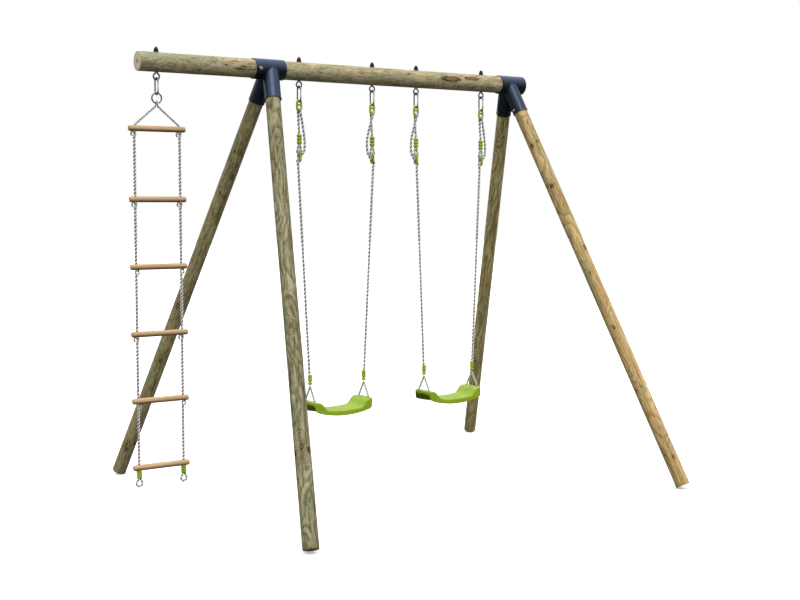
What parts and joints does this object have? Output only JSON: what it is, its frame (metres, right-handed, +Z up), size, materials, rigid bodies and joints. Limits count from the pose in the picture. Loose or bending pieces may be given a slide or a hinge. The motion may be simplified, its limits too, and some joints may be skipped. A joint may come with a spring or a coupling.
{
  "type": "swing set",
  "caption": "Round-log swing set: a long beam on splayed legs in steel corner sleeves, carrying board swings on ropes and a rope ladder from the overhanging end.",
  "frame": {"origin": "on the ground, at the centre of the overall footprint, with the lowest rims of the feet at Z = 0", "axes": "+X along the beam to the right (the ladder is at the -X end), +Y to the rear, +Z up"},
  "size_m": [2.9779, 2.2415, 2.3913],
  "materials": {
    "pine": "round log with the bark off, greenish pressure-treated, matt with darker grain and knots",
    "pine_warm": "round log with the bark off, yellow-tan, matt with brown knots",
    "powder_coat": "satin blue-black powder coat",
    "zinc": "bright zinc plate",
    "cap_black": "matt black moulding",
    "fitting_green": "semi-gloss yellow-green moulding",
    "seat_green": "semi-gloss yellow-green moulding",
    "rope": "three-strand twisted off-white rope with grey-brown flecks",
    "rung_wood": "turned light brown wood, plain matt"
  },
  "bodies": {
    "frame": {"beam": "pine", "leg_front_left": "pine", "leg_rear_left": "pine", "leg_front_right": "pine_warm", "leg_rear_right": "pine", "bracket_left": "powder_coat", "bracket_right": "powder_coat", "leg_screws": "zinc", "beam_screws": "zinc", "eye_bolts": "zinc", "bolt_washers": "zinc", "bolt_nuts": "zinc", "nut_caps": "cap_black"},
    "left_swing": {"left_swing_carabiners": "zinc", "left_swing_gate_pins": "zinc", "left_swing_links": "fitting_green", "left_swing_rope_left": "rope", "left_swing_rope_right": "rope", "left_swing_end_ferrules": "fitting_green", "left_swing_adjusters": "fitting_green", "left_swing_seat_ferrules": "fitting_green"},
    "left_seat": {"left_seat": "seat_green", "left_seat_bridles": "rope"},
    "left_swing_gate_left": {"left_swing_gate_left": "zinc"},
    "left_swing_gate_right": {"left_swing_gate_right": "zinc"},
    "right_swing": {"right_swing_carabiners": "zinc", "right_swing_gate_pins": "zinc", "right_swing_links": "fitting_green", "right_swing_rope_left": "rope", "right_swing_rope_right": "rope", "right_swing_end_ferrules": "fitting_green", "right_swing_adjusters": "fitting_green", "right_swing_seat_ferrules": "fitting_green"},
    "right_seat": {"right_seat": "seat_green", "right_seat_bridles": "rope"},
    "right_swing_gate_left": {"right_swing_gate_left": "zinc"},
    "right_swing_gate_right": {"right_swing_gate_right": "zinc"},
    "ladder_hook": {"ladder_carabiner": "zinc", "ladder_gate_pin": "zinc"},
    "ladder_gate": {"ladder_gate": "zinc"},
    "ladder_section_1": {"ladder_ring": "zinc", "ladder_top_rope": "rope", "ladder_rung_1": "rung_wood"},
    "ladder_section_2": {"ladder_ropes_2": "rope", "ladder_rung_2": "rung_wood"},
    "ladder_section_3": {"ladder_ropes_3": "rope", "ladder_rung_3": "rung_wood"},
    "ladder_section_4": {"ladder_ropes_4": "rope", "ladder_rung_4": "rung_wood"},
    "ladder_section_5": {"ladder_ropes_5": "rope", "ladder_rung_5": "rung_wood"},
    "ladder_section_6": {"ladder_ropes_6": "rope", "ladder_rung_6": "rung_wood", "ladder_end_ferrules": "fitting_green"}
  },
  "joints": [
    {"name": "left_swing_hinge", "type": "hinge", "parent": "frame", "child": "left_swing", "pos_m": [-0.27397, 0.01111, 2.22677], "axis": [1, 0, 0], "range_deg": [-50, 50]},
    {"name": "left_seat_tilt", "type": "hinge", "parent": "left_swing", "child": "left_seat", "pos_m": [-0.27397, 0.01111, 0.60127], "axis": [1, 0, 0], "range_deg": [-25, 25]},
    {"name": "left_swing_gate_left_hinge", "type": "hinge", "parent": "left_swing", "child": "left_swing_gate_left", "pos_m": [-0.50897, -0.00689, 2.17457], "axis": [-1, 0, 0], "range_deg": [0, 25], "stiffness_Nm_per_rad": 0.05, "springref_deg": -17.19},
    {"name": "left_swing_gate_right_hinge", "type": "hinge", "parent": "left_swing", "child": "left_swing_gate_right", "pos_m": [-0.03897, -0.00689, 2.17457], "axis": [-1, 0, 0], "range_deg": [0, 25], "stiffness_Nm_per_rad": 0.05, "springref_deg": -17.19},
    {"name": "right_swing_hinge", "type": "hinge", "parent": "frame", "child": "right_swing", "pos_m": [0.49603, 0.01111, 2.22677], "axis": [1, 0, 0], "range_deg": [-50, 50]},
    {"name": "right_seat_tilt", "type": "hinge", "parent": "right_swing", "child": "right_seat", "pos_m": [0.49603, 0.01111, 0.60127], "axis": [1, 0, 0], "range_deg": [-25, 25]},
    {"name": "right_swing_gate_left_hinge", "type": "hinge", "parent": "right_swing", "child": "right_swing_gate_left", "pos_m": [0.26103, -0.00689, 2.17457], "axis": [-1, 0, 0], "range_deg": [0, 25], "stiffness_Nm_per_rad": 0.05, "springref_deg": -17.19},
    {"name": "right_swing_gate_right_hinge", "type": "hinge", "parent": "right_swing", "child": "right_swing_gate_right", "pos_m": [0.73103, -0.00689, 2.17457], "axis": [-1, 0, 0], "range_deg": [0, 25], "stiffness_Nm_per_rad": 0.05, "springref_deg": -17.19},
    {"name": "ladder_swing_hinge", "type": "hinge", "parent": "frame", "child": "ladder_hook", "pos_m": [-1.33547, 0.01111, 2.22677], "axis": [1, 0, 0], "range_deg": [-22, 22]},
    {"name": "ladder_gate_hinge", "type": "hinge", "parent": "ladder_hook", "child": "ladder_gate", "pos_m": [-1.33547, -0.00689, 2.17457], "axis": [-1, 0, 0], "range_deg": [0, 25], "stiffness_Nm_per_rad": 0.05, "springref_deg": -17.19},
    {"name": "ladder_sway", "type": "hinge", "parent": "ladder_hook", "child": "ladder_section_1", "pos_m": [-1.33547, 0.01111, 2.15157], "axis": [0, 1, 0], "range_deg": [-4, 8]},
    {"name": "ladder_fold_1", "type": "hinge", "parent": "ladder_section_1", "child": "ladder_section_2", "pos_m": [-1.33547, 0.01111, 1.95197], "axis": [1, 0, 0], "range_deg": [-8, 8]},
    {"name": "ladder_fold_2", "type": "hinge", "parent": "ladder_section_2", "child": "ladder_section_3", "pos_m": [-1.33547, 0.01111, 1.59597], "axis": [1, 0, 0], "range_deg": [-8, 8]},
    {"name": "ladder_fold_3", "type": "hinge", "parent": "ladder_section_3", "child": "ladder_section_4", "pos_m": [-1.33547, 0.01111, 1.25397], "axis": [1, 0, 0], "range_deg": [-8, 8]},
    {"name": "ladder_fold_4", "type": "hinge", "parent": "ladder_section_4", "child": "ladder_section_5", "pos_m": [-1.33547, 0.01111, 0.91197], "axis": [1, 0, 0], "range_deg": [-8, 8]},
    {"name": "ladder_fold_5", "type": "hinge", "parent": "ladder_section_5", "child": "ladder_section_6", "pos_m": [-1.33547, 0.01111, 0.56997], "axis": [1, 0, 0], "range_deg": [-8, 8]}
  ]
}
